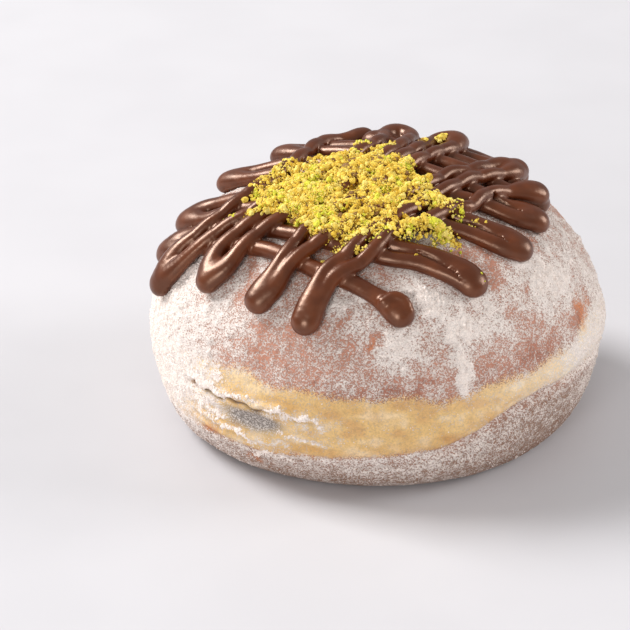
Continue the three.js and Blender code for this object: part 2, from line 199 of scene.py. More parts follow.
# Crumbs land one by one on a grid of heights, cluster, and take much the same tint as others near.
PILE_STEP = 0.25
PILE_LOW = (-42, -44)
PILE_HIGH = (34, 34)
PILE_GROWTH = 0.1
CRUMB_SINK = 0.05
CLUSTER_SIZE = 2.2
CRUMB_KNOBS = 4
CRUMB_ROUGHNESS = 0.2
CRUMB_SEED = 600
TINT_PATCH = 2.4
TINT_CUTS = [-0.05, 0.17, 0.62, 0.9]

# Crumbs by kind: how many, the smallest and largest radius, and how often their ball is split.
CRUMB_KINDS = {
    "pistachio_medium": (2450, 0.3, 0.68, 1),
    "pistachio_coarse": (260, 0.55, 0.9, 1),
    "pistachio_fine": (9400, 0.14, 0.34, 0),
}
# Places beside the heap where crumbs fell, as (x, y, reach x, reach y, share of all crumbs).
CRUMB_PATCHES = [
    (13.5, -18, 4, 2.4, 0.03), (12.4, -26.3, 4.4, 1.5, 0.045), (6.5, -27, 2.5, 2.5, 0.02),
    (-26, -16.5, 2, 1, 0.008), (1.5, 8.5, 2.2, 1.2, 0.008), (-3.5, 10, 2, 1, 0.003),
    (10.5, 12.5, 0.8, 0.6, 0.002), (14.5, 15, 1, 0.8, 0.005), (-10.5, -32.3, 1.2, 0.6, 0.003),
    (-3, -33.4, 1.6, 0.5, 0.003), (8, -33, 0.6, 0.3, 0.001), (21, -21.5, 2.5, 1.2, 0.002),
    (-31, -14, 1.4, 0.8, 0.001), (17, -21, 3, 1, 0.002), (22, -36, 1, 0.8, 0.0005),
]

# Sugar crystals and clumps, kept clear of the chocolate and of the heap on the crown.
SUGAR_SEED = 700
SUGAR_CLEARANCE = 0.15
SUGAR_HEAP_SHARE = 0.97
HEAP_LOWEST = 40
CRYSTAL_COUNT = 12000
CRYSTAL_SMALL = 0.09
CRYSTAL_LARGE = 0.16
CRYSTAL_LIFT = 0.06
CLUMP_COUNT = 4400
CLUMP_SMALL = 0.14
CLUMP_LARGE = 0.42
CLUMP_SINK = 0.15
CLUMP_KNOBS = 5
CLUMP_ROUGHNESS = 0.16
# How wide the grains are in the crust's material.
GRAIN = 0.27
FINE_GRAIN = 0.17

# Colours in sRGB, from 0 to 255, as they show in soft light.
FRIED = (172, 108, 80)
FRIED_DARK = (150, 84, 56)
UNDERSIDE = (122, 78, 48)
WAIST = (220, 180, 112)
WAIST_BROWN = (192, 138, 76)
WAIST_PALE = (242, 220, 186)
GOLDEN = (196, 142, 64)
SCORCHED = (196, 112, 52)
# Grey painted shadow in the pocket below the slit.
POCKET_SHADOW = (96, 86, 79)
# Dark painted shadow inside the slit and the hole.
SLIT_SHADOW = (72, 48, 34)
# Painted shadow in the gaps between thick sugar grains.
CRUST_GAP_SHADOW = (130, 88, 68)
SUGAR_WHITE = (246, 234, 226)
CHOCOLATE = (76, 31, 11)
CHOCOLATE_LIGHT = (95, 44, 19)
CHOCOLATE_SHINE = (255, 212, 184)
NUT_PALE = (251, 228, 118)
NUT_YELLOW = (244, 211, 82)
NUT_DEEP = (218, 178, 46)
NUT_GREEN = (222, 218, 58)
NUT_SKIN = (142, 102, 50)
NUT_SHADE = (200, 162, 56)

# The camera as it was fitted to the photograph, which is 630 pixels a side.
PHOTO_SIDE = 630
CAMERA_ELEVATION = 24
CAMERA_DISTANCE = 600
CAMERA_TARGET_HEIGHT = 30
PIXELS_PER_MM = 4.511
CENTRE_U = 376.05
CENTRE_V = 277.8
SENSOR = 36

# The floor, the world's light, and the soft lights as (name, place in metres, side, watts).
FLOOR_SIDE = 6
FLOOR_LEVEL = -0.00005
FLOOR_TONES = [(203, 201, 204), (206, 204, 207)]
WORLD_COLOUR = (1, 0.985, 0.98, 1)
WORLD_STRENGTH = 0.38
LIGHT_TARGET = (0, 0, 0.03)
SOFTBOXES = [
    ("key", (-1.4, 0.6, 1.4), 0.9, 50),
    ("fill", (-0.8, -2.3, 0.7), 0.9, 25),
    ("rim", (1.8, 0.2, 0.8), 1, 22),
]


def bell(distance, width):
    return np.exp(-((distance / width) ** 2))


def smoothstep(value, low, high):
    part = np.clip((value - low) / (high - low), 0, 1)
    return part * part * (3 - 2 * part)


def window(value, low, high, soft):
    """1 between low and high, with a soft change at each end."""
    return smoothstep(value, low - soft, low + soft) * (1 - smoothstep(value, high - soft, high + soft))


def mix(one, other, share):
    return one + (other - one) * share


def stacked(*parts):
    """The parts as the last axis of one array."""
    return np.stack(np.broadcast_arrays(*parts), axis=-1)


def unit(vectors):
    return vectors / np.linalg.norm(vectors, axis=-1, keepdims=True)


def spaced(line, lengths, count):
    """Points along a line of two columns, evenly spaced by the lengths given to its pieces."""
    travel = np.r_[0, np.cumsum(lengths)]
    stops = np.linspace(0, travel[-1], count)
    return np.c_[np.interp(stops, travel, line[:, 0]), np.interp(stops, travel, line[:, 1])]


def linear(colour):
    """An sRGB colour from 0 to 255 as linear values from 0 to 1."""
    value = np.asarray(colour, float) / 255
    return np.where(value <= 0.04045, value / 12.92, ((value + 0.055) / 1.055) ** 2.4)


def value_noise(points, wavelength, seed):
    """Smooth random values from -1 to 1 at points in space, with bumps a wavelength apart."""
    side = 32
    lattice = np.random.default_rng(seed).uniform(-1, 1, (side, side, side))
    place = np.asarray(points) / wavelength
    cell = np.floor(place).astype(int)
    part = place - cell
    part = part * part * (3 - 2 * part)
    total = np.zeros(place.shape[:-1])
    for corner in itertools.product((0, 1), repeat=3):
        weight = np.prod(np.where(corner, part, 1 - part), axis=-1)
        index = (cell + corner) % side
        total += weight * lattice[index[..., 0], index[..., 1], index[..., 2]]
    return total


def mesh_object(name, points, faces, material, smooth=True, looks=None):
    """A mesh piece from millimetre points, with colours or values by name for its material."""
    points = np.asarray(points, np.float32)
    faces = np.asarray(faces, np.int32)
    mesh = bpy.data.meshes.new(name)
    mesh.vertices.add(len(points))
    mesh.vertices.foreach_set("co", ((points + SHIFT) * MM).astype(np.float32).ravel())
    mesh.loops.add(faces.size)
    mesh.loops.foreach_set("vertex_index", faces.ravel())
    mesh.polygons.add(len(faces))
    mesh.polygons.foreach_set("loop_start", np.arange(0, faces.size, faces.shape[1], dtype=np.int32))
    mesh.polygons.foreach_set("use_smooth", np.full(len(faces), smooth))
    mesh.update()
    if mesh.validate():
        print("mesh repaired:", name)
    for key, value in (looks or {}).items():
        value = np.asarray(value, np.float32).reshape(len(points), -1)
        if value.shape[1] == 1:
            mesh.attributes.new(key, "FLOAT", "POINT").data.foreach_set("value", value.ravel())
        else:
            value = np.c_[value, np.ones(len(points), np.float32)]
            mesh.attributes.new(key, "FLOAT_COLOR", "POINT").data.foreach_set("color", value.ravel())
    mesh.materials.append(material)
    piece = bpy.data.objects.new(name, mesh)
    bpy.context.collection.objects.link(piece)
    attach(piece, "root")
    return piece


# Dough


def dome_height(x, y):
    share = np.minimum(np.hypot(x, y) / DOUGH_RADIUS, 0.99)
    level = WIDEST_HEIGHT + RISE * (1 - share ** UPPER_POWER) ** (1 / UPPER_POWER)
    return level * (1 + CROWN_TILT * x / CROWN_HEIGHT)


def dome_normal(x, y):
    step = 0.25
    fall_x = dome_height(x - step, y) - dome_height(x + step, y)
    fall_y = dome_height(x, y - step) - dome_height(x, y + step)
    return unit(stacked(fall_x, fall_y, 2 * step))


def dome_point(x, y, lift):
    return stacked(x, y, dome_height(x, y)) + dome_normal(x, y) * np.asarray(lift)[..., None]


def dough_profile():
    """Radius and height of each row from the foot's edge to the crown, closer at the slit."""
    angle = np.linspace(math.pi / 2, 0, 1200)
    lower = np.c_[
        FOOT_RADIUS + (DOUGH_RADIUS - FOOT_RADIUS) * np.cos(angle) ** (2 / LOWER_POWER),
        WIDEST_HEIGHT * (1 - np.sin(angle) ** (2 / LOWER_POWER)),
    ]
    angle = np.linspace(0, math.pi / 2, 2400)[1:-8]
    upper = np.c_[
        DOUGH_RADIUS * np.cos(angle) ** (2 / UPPER_POWER),
        WIDEST_HEIGHT + RISE * np.sin(angle) ** (2 / UPPER_POWER),
    ]
    profile = np.vstack([lower, upper])
    height = (profile[1:, 1] + profile[:-1, 1]) / 2
    detail = 0.4 + 0.6 * window(height, 2, 46, 3) + 0.9 * window(height, 14, 23, 2)
    lengths = np.linalg.norm(np.diff(profile, axis=0), axis=1)
    return spaced(profile, lengths * detail, DOUGH_ROWS)


def slit_height(azimuth):
    wander = 0.5 * np.sin(azimuth / 2.1) + 0.35 * np.sin(azimuth / 0.9 + 1)
    return SLIT_HEIGHT + SLIT_WANDER * wander - 0.9 * smoothstep(azimuth, -26, -14)


def slit_span(azimuth):
    """1 along the slit and 0 beyond its ends."""
    return window(azimuth, SLIT_MIDDLE - SLIT_HALF_SPAN, SLIT_MIDDLE + SLIT_HALF_SPAN, 3)


def slit_narrowed(azimuth):
    """0 where the slit gapes and 1 where it has narrowed to a seam."""
    return smoothstep(azimuth, SLIT_NARROWS_FROM, SLIT_NARROWS_TO)


def spot(azimuth, height, middle, level, span, tall):
    """1 at a place on the side, with a soft fall to 0 round it."""
    return bell(azimuth - middle, span) * bell(height - level, tall)


def dough_relief(azimuth, height):
    """Outward relief of the dough's side, in millimetres."""
    turn = np.radians(azimuth)
    crease_height = mix(CREASE_LOW, CREASE_HIGH, smoothstep(azimuth, CREASE_START, CREASE_LEVEL_FROM))
    creased = window(azimuth, CREASE_START, CREASE_END, 12)
    crease = -CREASE_DEPTH * bell(height - crease_height, CREASE_HALF_WIDTH)
    lip = OVERHANG * bell(height - crease_height - OVERHANG_RISE, OVERHANG_HALF_HEIGHT)
    above = height - slit_height(azimuth)
    gape = 0.5 + 0.5 * np.sin(azimuth / 3.1) * np.sin(azimuth / 1.3)
    gape = gape * (1 - 0.85 * slit_narrowed(azimuth))
    slit = -SLIT_DEPTH * gape * bell(above, SLIT_HALF_WIDTH)
    slit += SLIT_LIP * (bell(above - 1.2, 0.7) + 0.8 * bell(above + 1.3, 0.8))
    hole = -HOLE_DEPTH * spot(azimuth, height, *HOLE)
    pocket = -POCKET_DEPTH * spot(azimuth, height, *POCKET)
    folds = 0.28 * np.sin(height * 2.6 + azimuth / 6)
    folds = folds * window(azimuth, -52, -12, 5) * window(height, 8, 15, 1.5)
    lumps = LUMP_HEIGHT * (np.sin(3 * turn + height / 7) + np.sin(5 * turn - height / 5 + 1))
    lumps = lumps * window(height, 3, 34, 3)
    return creased * (crease + lip) + slit_span(azimuth) * slit + hole + pocket + folds + lumps


def patches(azimuth, height, spots):
    """The sum of ragged spots, each (azimuth, height, half span, half height, strength)."""
    place = stacked(azimuth, height, 0)
    azimuth = azimuth + 2.6 * value_noise(place, 4, 41) + 1.5 * value_noise(place, 1.7, 42)
    height = height + 1.6 * value_noise(place, 4, 43) + 1.0 * value_noise(place, 1.7, 44)
    total = np.zeros(np.shape(azimuth))
    for *where, strength in spots:
        total += strength * spot(azimuth, height, *where)
    return total


# Share of the crust that sugar covers above the waist, on the waist, what the waist's pale
# ends add, on the underside, and what the underside loses at the right and near the foot.
# The loss at the right paints shade on the side away from the key light; the loss near the
# foot is partly thinner sugar and partly painted shade near the floor.
UPPER_SUGAR = 0.51
WAIST_SUGAR = 0.17
PALE_END_SUGAR = 0.37
UNDERSIDE_SUGAR = 0.57
RIGHT_SHADE_SUGAR_CUT = 0.13
FOOT_SUGAR_AND_SHADE_CUT = 0.1
# Where sugar lies thicker or thinner than around it.
SUGAR_SPOTS = [
    (-75, 30, 20, 16, 0.45), (-64, 18, 13, 8, 0.4), (-48, 36, 9, 6, 0.1), (-46, 26, 8, 4, 0.15),
    (5, 34, 5, 4, 0.34), (9, 38, 6, 3, 0.2), (21, 31, 2.6, 6, 0.5), (20, 25, 1.6, 3, 0.42),
    (-8, 43, 7, 4, 0.35), (16, 42, 6, 3, 0.4), (60, 39, 9, 4, 0.35), (30, 36, 9, 3, 0.2),
    (80, 24, 16, 12, 0.28), (52, 42, 10, 5, 0.2), (60, 23, 7, 2.5, 0.3),
    (-43, 21.4, 7, 1.2, 0.5), (-18, 18.8, 7, 1.2, 0.7), (-44, 17, 5, 2, 0.5),
    (-46, 9.5, 2.5, 1.5, -0.45), (-34, 7.5, 3, 1.2, -0.25),
    (-52, 22, 6, 3, 0.3), (-14, 14.6, 6, 0.7, 0.4), (-27, 12.6, 6, 0.7, 0.45), (-31, 20.6, 6, 0.8, 0.4),
    (-20, 31, 22, 4, -0.1), (8, 26, 8, 2.5, -0.16), (27, 28, 3, 3, -0.16), (42, 28, 8, 3, -0.2),
    (40, 43.5, 8, 2.5, -0.16), (64, 30, 5, 2.5, -0.4), (-2.5, 36.5, 0.9, 0.9, -0.8),
]
# Where sugar sticks in clots, round the slit.
CLOT_SPOTS = [
    (-47, 21.2, 5, 0.5, 1), (-38, 20.8, 4, 0.3, 0.8), (-19, 18.9, 5, 0.5, 1), (-25, 19.6, 3, 0.3, 0.6),
    (-50, 17, 3, 1.2, 0.7), (-44, 14, 4, 0.5, 0.8), (-36, 11.6, 5, 0.4, 0.7), (-20, 14.2, 5, 0.4, 0.6),
    (-44, 24.5, 2, 1.5, 0.7), (-30, 8.5, 5, 0.5, 0.6),
]
# Where the crust is fried darker.
DARK_SPOTS = [
    (6, 25.5, 10, 1.8, 0.9), (42, 27.5, 9, 2.5, 0.8), (27, 27, 4, 2.5, 0.6), (20, 13, 4, 2, 0.7),
    (-10, 27, 8, 1.5, 0.4),
]
SCORCHED_SPOTS = [
    (66, 31, 2.6, 2.6, 1), (-46, 9.5, 2, 1.6, 0.9), (-34, 7.5, 2, 1.2, 0.6), (-2.5, 36.5, 0.8, 0.8, 0.9),
    (20, 13.5, 2.5, 1.2, 0.5), (-51, 19.2, 1.8, 0.7, 0.6),
]
# Where the waist is golden, with no sugar on it.
GOLDEN_SPOTS = [
    (-18, 12, 4.5, 1.3, 1), (-27, 22.5, 5, 1.6, 0.6), (-20, 21, 5, 1.5, 0.5), (19, 14.2, 6, 1.1, 0.9),
    (-40, 22.5, 4, 1.5, 0.5), (-5, 22, 8, 1.5, 0.4), (30, 19, 6, 0.8, 0.6), (2, 14, 7, 1, 0.4),
]


def crust_looks(azimuth, height, points):
    """Colours of the crust and of the pale waist, where the waist is, and the sugar's cover."""
    ragged = 1.3 * value_noise(points, 7, 11) + 0.7 * value_noise(points, 3, 12)
    top = np.interp(azimuth, WAIST_AZIMUTHS, WAIST_TOPS) + ragged
    bottom = np.interp(azimuth, WAIST_AZIMUTHS, WAIST_BOTTOMS) + 0.6 * ragged
    in_waist = smoothstep(height, bottom - 1.6, bottom + 2.2)
    in_waist = in_waist * (1 - smoothstep(height, top - 2.4, top + 2.4))
    below = 1 - smoothstep(height, bottom - 0.7, bottom + 0.7)
    pale = np.clip(smoothstep(azimuth, 12, 68) + smoothstep(-azimuth, 35, 80), 0, 1)
    patchy = 0.5 + 0.5 * value_noise(points, 7, 13)

    def paint(base, colour, share):
        return mix(base, linear(colour), np.clip(share, 0, 1)[..., None])

    crust = paint(linear(FRIED), FRIED_DARK, patches(azimuth, height, DARK_SPOTS) + 0.3 * patchy)
    crust = paint(crust, UNDERSIDE, below)
    edge = bell(height - top, 2.4) + bell(height - bottom, 1.8)
    crust = paint(crust, FRIED_DARK, 0.7 * edge * smoothstep(azimuth, -24, -8))
    streaks = value_noise(points * np.array([1, 1, 2.4]), 5, 19) + 0.5 * value_noise(points, 1.5, 20)
    browned = 0.55 * smoothstep(streaks, 0, 0.8) + 0.5 * bell(height - bottom, 2.2)
    waist = paint(linear(WAIST), WAIST_BROWN, browned)
    waist = paint(waist, WAIST_PALE, pale * 0.8 + 0.5 * smoothstep(-streaks, 0.1, 0.9))
    golden = patches(azimuth, height, GOLDEN_SPOTS) * (0.7 + 0.6 * value_noise(points, 1.8, 17))
    waist = paint(waist, GOLDEN, golden)
    scorched = patches(azimuth, height, SCORCHED_SPOTS)
    # Grey painted shadow in the pocket below the slit.
    grey = smoothstep(spot(azimuth, height, *POCKET_SHADOW_PLACE) + 0.12 * ragged, 0.15, 0.75)
    # Dark painted shadow inside the slit, weaker where it narrows to a seam, and in the hole; sugar is left
    # out there.
    seam = 0.4 + 0.6 * (1 - slit_narrowed(azimuth))
    slit_shadow_share = slit_span(azimuth) * seam * bell(height - slit_height(azimuth), 0.3)
    slit_shadow_share = slit_shadow_share + 1.5 * spot(azimuth, height, *HOLE)
    for colour, share in ((SCORCHED, scorched), (POCKET_SHADOW, grey), (SLIT_SHADOW, slit_shadow_share)):
        crust = paint(crust, colour, share)
        waist = paint(waist, colour, share)

    # Less sugar darkens the underside: painted shade at the right, and near the foot partly thinner sugar
    # and partly painted shade.
    lower = UNDERSIDE_SUGAR - RIGHT_SHADE_SUGAR_CUT * smoothstep(azimuth, 10, 50)
    lower = lower - FOOT_SUGAR_AND_SHADE_CUT * (1 - smoothstep(height, 3, 9))
    sugar = UPPER_SUGAR * (1 - in_waist) * (1 - below) + lower * below
    sugar = sugar + in_waist * (WAIST_SUGAR + PALE_END_SUGAR * pale)
    sugar = sugar + 0.1 * window(azimuth, -60, -14, 4) * in_waist
    sugar = sugar + patches(azimuth, height, SUGAR_SPOTS)
    cloudy = 0.15 + 0.85 * smoothstep(height, 30, 40)
    sugar = sugar + cloudy * (0.13 * value_noise(points, 6, 14) + 0.17 * value_noise(points, 2.6, 15))
    sugar = sugar + 0.13 * value_noise(points, 1.1, 18)
    sugar = sugar * (1 - np.clip(slit_shadow_share, 0, 1)) * (1 - 0.6 * np.clip(golden, 0, 1))
    sugar = mix(sugar, 0.46, grey * 0.9)
    return {"crust": crust, "waist": waist, "waist_share": in_waist, "sugar": np.clip(sugar, 0, 1)}


def dough_surface():
    """Points of the dough's side and crown in rows, with their outward direction and looks."""
    profile = dough_profile()
    turn = 2 * math.pi * np.arange(DOUGH_SIDES) / DOUGH_SIDES
    azimuth = np.degrees(np.arctan2(np.cos(turn), -np.sin(turn)))[None, :]
    radius = profile[:, :1]
    height = profile[:, 1:]
    slope = unit(stacked(radius / DOUGH_RADIUS, (height - WIDEST_HEIGHT) / RISE))
    outward = stacked(slope[..., 0] * np.cos(turn), slope[..., 0] * np.sin(turn), slope[..., 1])
    points = stacked(radius * np.cos(turn), radius * np.sin(turn), height)
    azimuth = np.broadcast_to(azimuth, points.shape[:2])
    height = points[..., 2]
    looks = crust_looks(azimuth, height, points)
    sugar = looks["sugar"]
    grainy = 0.10 * value_noise(points, 1.1, 21) + 0.09 * value_noise(points, 2.4, 22)
    heaped = 0.15 + 0.9 * np.abs(value_noise(points, 2.2, 23))
    heaped = heaped + 0.5 * np.abs(value_noise(points, 1.0, 25))
    piled = smoothstep(sugar, 0.5, 0.95) * heaped * (0.5 + 0.5 * smoothstep(height, 25, 33))
    dents = 0.3 * value_noise(points, 9, 24)
    fade = window(height, 1, 60, 1)
    relief = dough_relief(azimuth, height) + fade * (grainy + piled + dents)
    points = points + outward * relief[..., None]
    points[..., 2] += CROWN_TILT * points[..., 0] * points[..., 2] / CROWN_HEIGHT
    points[..., 2] = np.maximum(points[..., 2], 0)
    return points, outward, looks


def ring_faces(rows, sides):
    """Quads of a tube of rings, each with the same number of points."""
    row, side = np.meshgrid(np.arange(rows - 1), np.arange(sides), indexing="ij")
    after = (side + 1) % sides
    low = row * sides
    high = low + sides
    return stacked(low + side, low + after, high + after, high + side).reshape(-1, 4)


def dough_piece(surface, material):
    points, _, looks = surface
    rows, sides = points.shape[:2]
    foot = points[:1] * np.array([1, 1, 0])
    inner = np.concatenate([foot * share for share in (0.002, 0.5, 0.97)])
    crown = points[-1:].mean(axis=1, keepdims=True)
    top = mix(points[-1:], crown, 0.9)
    points = np.concatenate([inner, points, top]).reshape(-1, 3)
    looks = {key: np.concatenate([value[:1]] * 3 + [value, value[-1:]]) for key, value in looks.items()}
    faces = ring_faces(rows + 4, sides)
    piece = mesh_object("sugared_dough", points, faces, material, looks=looks)
    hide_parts("dough")
    return piece


# Chocolate drizzle


def smooth_path(stops):
    """Points in plan at even spacing on a centripetal curve through the stops."""
    stops = [np.array(stop, float) for stop in stops]
    stops = [2 * stops[0] - stops[1]] + stops + [2 * stops[-1] - stops[-2]]
    share = np.linspace(0, 1, 24, endpoint=False)[:, None]
    curve = []
    for before, start, end, after in zip(stops, stops[1:], stops[2:], stops[3:]):
        pairs = ((before, start), (start, end), (end, after))
        gaps = [math.sqrt(np.linalg.norm(b - a)) for a, b in pairs]
        leave = (start - before) / gaps[0] - (end - before) / (gaps[0] + gaps[1])
        leave = leave + (end - start) / gaps[1]
        arrive = (end - start) / gaps[1] - (after - start) / (gaps[1] + gaps[2])
        arrive = arrive + (after - end) / gaps[2]
        leave, arrive = leave * gaps[1], arrive * gaps[1]
        curve.append(
            start + leave * share
            + (3 * (end - start) - 2 * leave - arrive) * share ** 2
            + (2 * (start - end) + leave + arrive) * share ** 3
        )
    curve = np.vstack(curve + [stops[-2][None]])
    lengths = np.linalg.norm(np.diff(curve, axis=0), axis=1)
    return spaced(curve, lengths, max(3, round(lengths.sum() / STRAND_SPACING)))


def layer_paths(turns, runs):
    return [smooth_path([turns[k], *run, turns[k + 1]]) for k, run in enumerate(runs)]


def strand_sections(path, lift, widths, heights):
    """Centre, axes and half sizes of the oval section at each point of a strand."""
    centre = dome_point(path[:, 0], path[:, 1], lift)
    along = unit(np.gradient(centre, axis=0))
    side = unit(np.cross(dome_normal(path[:, 0], path[:, 1]), along))
    axes = np.stack([along, side, np.cross(along, side)], axis=1)
    return centre, axes, stacked(widths, widths, heights)


def arm_sections(path, half_width, lift, seed):
    """Sections of one arm, a little uneven as piped by hand, and swollen at both ends."""
    chance = np.random.default_rng(seed)
    travel = STRAND_SPACING * np.arange(len(path))
    end = np.minimum(travel, travel[-1] - travel)
    swell = bell(end, LOOP_LENGTH)
    phases = chance.uniform(0, 6.28, 3)
    uneven = 1 + 0.05 * np.sin(travel / 3.7 + phases[0]) + 0.035 * np.sin(travel / 1.6 + phases[1])
    widths = mix(half_width, LOOP_HALF_WIDTH, swell) * uneven
    heights = mix(half_width * STRAND_FLATNESS, LOOP_HALF_HEIGHT, swell) * (0.5 + 0.5 * uneven)
    sway = 0.12 * np.sin(travel / 4.3 + phases[2]) * (1 - swell)
    across = np.gradient(path, axis=0)[:, ::-1] * np.array([1, -1]) / STRAND_SPACING
    return strand_sections(path + across * sway[:, None], lift + LOOP_LIFT * swell, widths, heights)


class Field:
    """Distances on a grid of points, negative inside the chocolate."""

    def __init__(self):
        self.low = np.array(FIELD_LOW, float)
        self.shape = np.round((np.array(FIELD_HIGH) - self.low) / VOXEL).astype(int)
        self.axes = [self.low[k] + VOXEL * np.arange(self.shape[k]) for k in range(3)]
        self.value = np.full(self.shape, FAR, np.float32)

    def span(self, low, high):
        """Slices of the grid between two corners."""
        first = np.clip(np.floor((low - self.low) / VOXEL).astype(int), 0, self.shape)
        last = np.clip(np.ceil((high - self.low) / VOXEL).astype(int) + 1, 0, self.shape)
        return tuple(slice(a, b) for a, b in zip(first, last))

    def offsets(self, spans, centre):
        shapes = ((-1, 1, 1), (1, -1, 1), (1, 1, -1))
        return [(self.axes[k][spans[k]] - centre[k]).reshape(shapes[k]) for k in range(3)]

    def add_strand(self, sections):
        """Joins a strand to what is there, with a soft fillet where they meet."""
        own = np.full(self.shape, FAR, np.float32)
        centres, axes, sizes = sections
        for centre, axis, size in zip(centres, axes, sizes):
            reach = size.max() + 1.5
            spans = self.span(centre - reach, centre + reach)
            x, y, z = self.offsets(spans, centre)
            local = [x * row[0] + y * row[1] + z * row[2] for row in axis]
            near = np.sqrt(sum((part / half) ** 2 for part, half in zip(local, size)))
            steep = np.sqrt(sum((part / half ** 2) ** 2 for part, half in zip(local, size)))
            distance = near * (near - 1) / np.maximum(steep, 1e-6)
            own[spans] = np.minimum(own[spans], distance)
        reach = sizes.max() + 1.5
        spans = self.span(centres.min(axis=0) - reach, centres.max(axis=0) + reach)
        mine, there = own[spans], self.value[spans]
        blend = np.clip(STRAND_BLEND - np.abs(mine - there), 0, None) / STRAND_BLEND
        self.value[spans] = np.minimum(mine, there) - blend ** 2 * STRAND_BLEND / 4

    def carve(self, sections):
        """Takes a strand's shape out of what is there."""
        mine = Field()
        mine.add_strand(sections)
        self.value = np.maximum(self.value, -mine.value)

    def trim_below_dough(self):
        """Ends the chocolate a little under the dough's surface."""
        x, y = np.meshgrid(self.axes[0], self.axes[1], indexing="ij")
        facing = dome_normal(x, y)[..., 2]
        level = dome_height(x, y)
        under = (level[..., None] - self.axes[2]) * facing[..., None] - STRAND_SINK
        self.value = np.maximum(self.value, under.astype(np.float32))

    def surface(self):
        """Points and quads of the surface where the distance is zero."""
        grid = openvdb.FloatGrid(background=FAR)
        grid.copyFromArray(self.value)
        points, quads = grid.convertToQuads(isovalue=0)
        return points * VOXEL + self.low, quads

    def at(self, points):
        index = np.round((points - self.low) / VOXEL).astype(int)
        inside = np.all((index >= 0) & (index < self.shape), axis=-1)
        index = np.clip(index, 0, self.shape - 1)
        return np.where(inside, self.value[index[..., 0], index[..., 1], index[..., 2]], FAR)

    def tops(self, x, y):
        """Height of the chocolate's top at each plan position, or -1 where there is none."""
        filled = self.value < 0
        last = self.shape[2] - 1 - np.argmax(filled[:, :, ::-1], axis=2)
        tops = np.where(filled.any(axis=2), self.axes[2][last], -1)
        i = np.clip(np.round((x - self.low[0]) / VOXEL).astype(int), 0, self.shape[0] - 1)
        j = np.clip(np.round((y - self.low[1]) / VOXEL).astype(int), 0, self.shape[1] - 1)
        return tops[i, j]


def drizzle_field():
    field = Field()
    lower = layer_paths(LOWER_TURNS, LOWER_RUNS)
    upper = layer_paths(UPPER_TURNS, UPPER_RUNS)
    below = np.vstack(lower)
    for index, path in enumerate(lower):
        field.add_strand(arm_sections(path, LOWER_HALF_WIDTH, STRAND_LIFT, index))
    for index, path in enumerate(upper):
        nearest = np.min(np.linalg.norm(path[:, None] - below[None], axis=2), axis=1)
        lift = STRAND_LIFT + CROSSING_LIFT * bell(nearest, CROSSING_REACH)
        field.add_strand(arm_sections(path, UPPER_HALF_WIDTH, lift, UPPER_SEED + index))
    curl = smooth_path(CURL)
    size = np.full(len(curl), CURL_HALF_WIDTH)
    field.add_strand(strand_sections(curl, CURL_LIFT, size, size))
    for drop, line in FURROW_LINES:
        path = smooth_path(line)
        swell = bell(STRAND_SPACING * np.arange(len(path))[::-1], LOOP_LENGTH)
        lift = mix(FURROW_LIFT, FURROW_END_LIFT, swell) - drop + FURROW_CUT
        widths = FURROW_HALF_WIDTH * np.sin(np.linspace(0.5, 3, len(path)))
        field.carve(strand_sections(path, lift, widths, FURROW_CUT))
    field.trim_below_dough()
    return field


# Crumbs and sugar


def ball(level):
    """Points and triangles of a round ball, as an icosahedron split a number of times."""
    ratio = (1 + math.sqrt(5)) / 2
    points = []
    for a, b in itertools.product((-1, 1), (-ratio, ratio)):
        points += [(a, b, 0), (0, a, b), (b, 0, a)]
    points = [Vector(point).normalized() for point in points]
    side = min((points[0] - other).length for other in points[1:])
    triangles = [
        three for three in itertools.combinations(range(12), 3)
        if all((points[a] - points[b]).length < 1.1 * side for a, b in itertools.combinations(three, 2))
    ]
    triangles = [
        (a, b, c) if (points[b] - points[a]).cross(points[c] - points[a]).dot(points[a]) > 0 else (a, c, b)
        for a, b, c in triangles
    ]
    for _ in range(level):
        middles = {}

        def middle(a, b):
            key = (min(a, b), max(a, b))
            if key not in middles:
                middles[key] = len(points)
                points.append(((points[a] + points[b]) / 2).normalized())
            return middles[key]

        split = []
        for a, b, c in triangles:
            ab, bc, ca = middle(a, b), middle(b, c), middle(c, a)
            split += [(a, ab, ca), (ab, b, bc), (ca, bc, c), (ab, bc, ca)]
        triangles = split
    return np.array(points), np.array(triangles)


def random_turns(count, chance):
    """Random rotation matrices."""
    w, x, y, z = unit(chance.normal(size=(count, 4))).T
    return np.stack([
        stacked(1 - 2 * (y * y + z * z), 2 * (x * y - z * w), 2 * (x * z + y * w)),
        stacked(2 * (x * y + z * w), 1 - 2 * (x * x + z * z), 2 * (y * z - x * w)),
        stacked(2 * (x * z - y * w), 2 * (y * z + x * w), 1 - 2 * (x * x + y * y)),
    ], axis=1)


def scattered(centres, radii, level, knobs, roughness, chance):
    """Points and triangles of many lumpy bits, each a ball with knobs on it."""
    base, triangles = ball(level)
    count = len(centres)
    knob_axes = unit(chance.normal(size=(count, knobs, 3)))
    facing = np.einsum("vk,nmk->nvm", base, knob_axes)
    swell = 0.72 + 0.42 * np.max(smoothstep(facing, 0.35, 1), axis=2)
    swell = swell + roughness * chance.uniform(-1, 1, (count, len(base)))
    stretch = chance.uniform(0.65, 1.3, (count, 1, 3))
    local = base[None] * swell[..., None] * stretch * radii[:, None, None]
    turned = np.einsum("nij,nvj->nvi", random_turns(count, chance), local)
    points = (turned + centres[:, None]).reshape(-1, 3)
    faces = (triangles[None] + len(base) * np.arange(count)[:, None, None]).reshape(-1, 3)
    return points, faces, len(base)


def heap_reach(turn):
    """How far the heap reaches from its centre toward a turn in radians."""
    outline = np.array(HEAP_OUTLINE, float) - HEAP_CENTRE
    turns = np.arctan2(outline[:, 1], outline[:, 0])
    order = np.argsort(turns)
    return np.interp(turn, turns[order], np.hypot(*outline[order].T), period=2 * math.pi)


